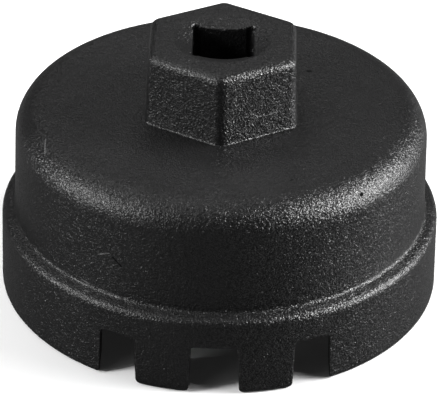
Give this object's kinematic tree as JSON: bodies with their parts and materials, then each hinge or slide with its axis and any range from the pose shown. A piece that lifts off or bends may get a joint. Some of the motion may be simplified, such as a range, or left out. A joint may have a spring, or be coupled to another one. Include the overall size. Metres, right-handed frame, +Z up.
{
  "type": "oil filter wrench",
  "caption": "Cup-type oil filter wrench: a one-piece cast cup with a fluted socket, a notched rim, a drive hexagon and a square drive hole.",
  "frame": {"origin": "centre of the open rim plane, on the drive axis", "axes": "+Z up the drive axis from the open rim to the drive hexagon; the notched sides of the rim face -Y and +Y, and a corner of the hexagon points along -Y"},
  "size_m": [0.074, 0.0736, 0.045],
  "materials": {
    "powder_coat": "matte black powder coat with a fine grain over cast aluminium"
  },
  "bodies": {
    "root": {"wrench_body": "powder_coat"}
  },
  "joints": []
}
